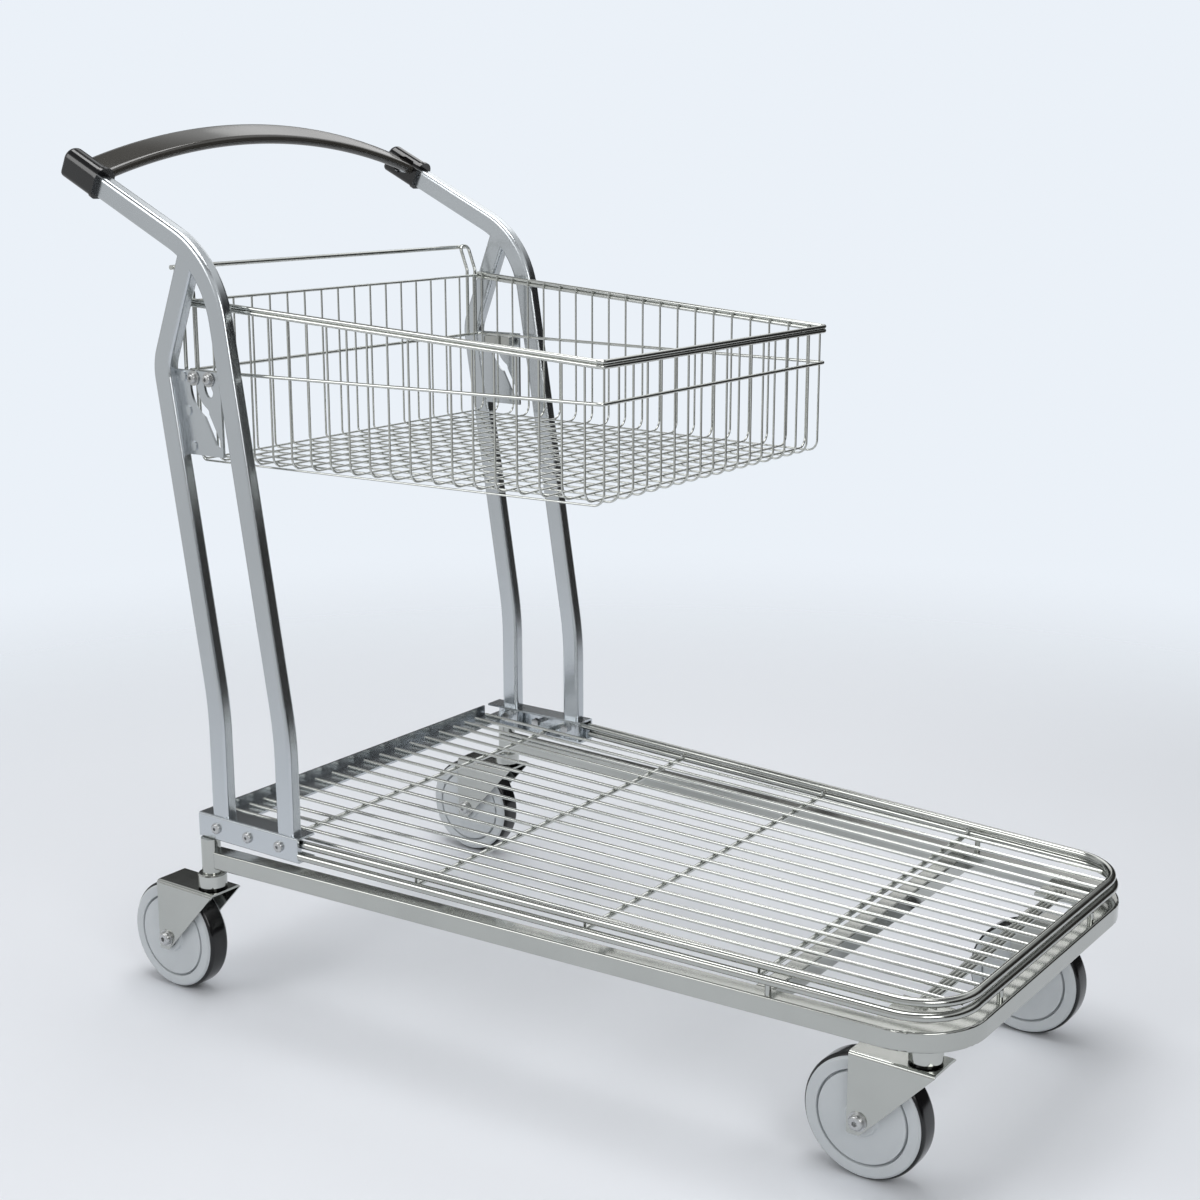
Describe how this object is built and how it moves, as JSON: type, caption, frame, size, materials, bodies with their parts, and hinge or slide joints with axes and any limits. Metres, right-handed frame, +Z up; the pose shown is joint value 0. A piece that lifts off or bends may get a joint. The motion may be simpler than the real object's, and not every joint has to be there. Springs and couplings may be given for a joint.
{
  "type": "nesting flat-bed shopping trolley with a tip-up wire basket",
  "caption": "Nesting store trolley: wire deck on a tapered tube chassis with swivel casters, bent uprights, arched push handle and a tip-up wire basket.",
  "frame": {"origin": "on the floor under the middle of the bounding box", "axes": "+X forwards (away from the push handle), +Y to the trolley's left, +Z up"},
  "size_m": [1.051, 0.5872, 0.953],
  "materials": {
    "frame_chrome": "bright zinc-chrome plating",
    "wire_chrome": "bright zinc-chrome plating",
    "silver_steel": "satin silver powder coat",
    "fastener_steel": "zinc-plated",
    "bearing_steel": "ground",
    "wheel_plastic": "moulded satin",
    "tyre_rubber": "smooth",
    "handle_plastic": "gloss",
    "cap_plastic": "high gloss"
  },
  "bodies": {
    "root": {"bracket_bolts": "fastener_steel", "bracket_nuts": "fastener_steel", "caster_stems": "fastener_steel", "chassis_frame": "frame_chrome", "deck_cross_rods": "wire_chrome", "deck_long_wires": "wire_chrome", "deck_lower_rim": "frame_chrome", "deck_rear_angle": "silver_steel", "deck_standoffs": "frame_chrome", "deck_upper_rim": "frame_chrome", "front_caster_plates": "frame_chrome", "front_cross_member": "frame_chrome", "front_rib_bar": "frame_chrome", "handle_bar": "handle_plastic", "handle_cap_left": "cap_plastic", "handle_cap_right": "cap_plastic", "hinge_plate_left": "silver_steel", "hinge_plate_right": "silver_steel", "side_bracket_left": "silver_steel", "side_bracket_right": "silver_steel", "stem_sleeves": "frame_chrome", "upright_front_left": "silver_steel", "upright_front_right": "silver_steel", "upright_rear_left": "silver_steel", "upright_rear_right": "silver_steel"},
    "basket": {"basket_back_bar": "wire_chrome", "basket_back_hairpins": "wire_chrome", "basket_back_rim": "wire_chrome", "basket_cross_wires": "wire_chrome", "basket_long_wires": "wire_chrome", "basket_rim_rods": "wire_chrome", "basket_ring": "wire_chrome", "hinge_lugs": "frame_chrome", "hinge_studs": "fastener_steel", "stud_washers": "fastener_steel"},
    "swivel_rear_left": {"fork_rear_left": "frame_chrome", "swivel_head_rear_left": "frame_chrome", "axle_rear_left": "fastener_steel"},
    "wheel_rear_left": {"wheel_core_rear_left": "wheel_plastic", "tyre_rear_left": "tyre_rubber", "wheel_bearings_rear_left": "bearing_steel"},
    "swivel_rear_right": {"fork_rear_right": "frame_chrome", "swivel_head_rear_right": "frame_chrome", "axle_rear_right": "fastener_steel"},
    "wheel_rear_right": {"wheel_core_rear_right": "wheel_plastic", "tyre_rear_right": "tyre_rubber", "wheel_bearings_rear_right": "bearing_steel"},
    "swivel_front_left": {"fork_front_left": "frame_chrome", "swivel_head_front_left": "frame_chrome", "axle_front_left": "fastener_steel"},
    "wheel_front_left": {"wheel_core_front_left": "wheel_plastic", "tyre_front_left": "tyre_rubber", "wheel_bearings_front_left": "bearing_steel"},
    "swivel_front_right": {"fork_front_right": "frame_chrome", "swivel_head_front_right": "frame_chrome", "axle_front_right": "fastener_steel"},
    "wheel_front_right": {"wheel_core_front_right": "wheel_plastic", "tyre_front_right": "tyre_rubber", "wheel_bearings_front_right": "bearing_steel"}
  },
  "joints": [
    {"name": "basket_tip", "type": "hinge", "parent": "root", "child": "basket", "pos_m": [-0.319, 0, 0.687], "axis": [0, -1, 0], "range_deg": [0, 72]},
    {"name": "swivel_rear_left_turn", "type": "hinge", "parent": "root", "child": "swivel_rear_left", "pos_m": [-0.3495, 0.26447, 0.13], "axis": [0, 0, 1], "continuous": true},
    {"name": "wheel_rear_left_spin", "type": "hinge", "parent": "swivel_rear_left", "child": "wheel_rear_left", "pos_m": [-0.4045, 0.26447, 0.0625], "axis": [0, 1, 0], "continuous": true},
    {"name": "swivel_rear_right_turn", "type": "hinge", "parent": "root", "child": "swivel_rear_right", "pos_m": [-0.3495, -0.26447, 0.13], "axis": [0, 0, 1], "continuous": true},
    {"name": "wheel_rear_right_spin", "type": "hinge", "parent": "swivel_rear_right", "child": "wheel_rear_right", "pos_m": [-0.4045, -0.26447, 0.0625], "axis": [0, 1, 0], "continuous": true},
    {"name": "swivel_front_left_turn", "type": "hinge", "parent": "root", "child": "swivel_front_left", "pos_m": [0.4805, 0.183, 0.13], "axis": [0, 0, 1], "continuous": true},
    {"name": "wheel_front_left_spin", "type": "hinge", "parent": "swivel_front_left", "child": "wheel_front_left", "pos_m": [0.4255, 0.183, 0.0625], "axis": [0, 1, 0], "continuous": true},
    {"name": "swivel_front_right_turn", "type": "hinge", "parent": "root", "child": "swivel_front_right", "pos_m": [0.4805, -0.183, 0.13], "axis": [0, 0, 1], "continuous": true},
    {"name": "wheel_front_right_spin", "type": "hinge", "parent": "swivel_front_right", "child": "wheel_front_right", "pos_m": [0.4255, -0.183, 0.0625], "axis": [0, 1, 0], "continuous": true}
  ]
}
